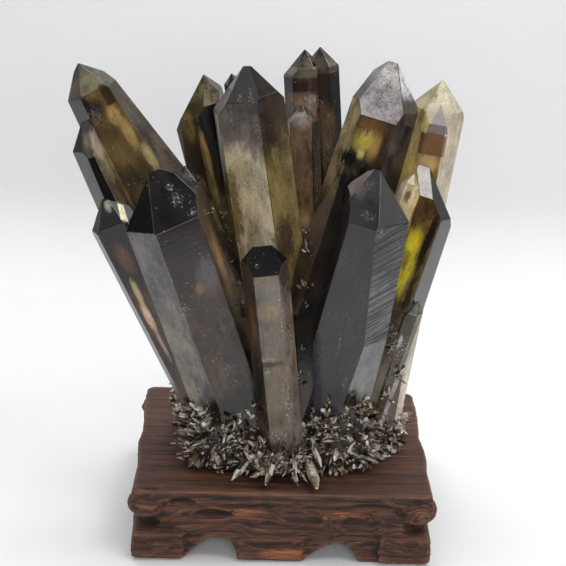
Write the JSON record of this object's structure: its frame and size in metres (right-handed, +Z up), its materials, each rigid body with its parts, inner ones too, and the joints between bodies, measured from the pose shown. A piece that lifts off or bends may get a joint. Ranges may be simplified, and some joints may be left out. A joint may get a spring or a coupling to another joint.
{
  "type": "morion quartz cluster on a wooden stand",
  "caption": "Cluster of tall smoky to black quartz crystals fanning out of a crust of small ones, resting on a low carved wooden stand with arched feet.",
  "frame": {"origin": "middle of the underside of the whole object's box, on the floor that the stand's feet rest on", "axes": "+Z up, +X to the right and -Y toward the viewer of the side that the cluster is shown from"},
  "size_m": [0.1902, 0.121, 0.234],
  "materials": {
    "morion_quartz": "smoky brown to black natural quartz, clear in places, with glossy natural faces and some frosted ones",
    "rosewood": "dark red-brown carved rosewood with a fine grain, waxed to a low sheen"
  },
  "bodies": {
    "root": {"quartz_cluster": "morion_quartz", "wood_stand": "rosewood"}
  },
  "joints": []
}
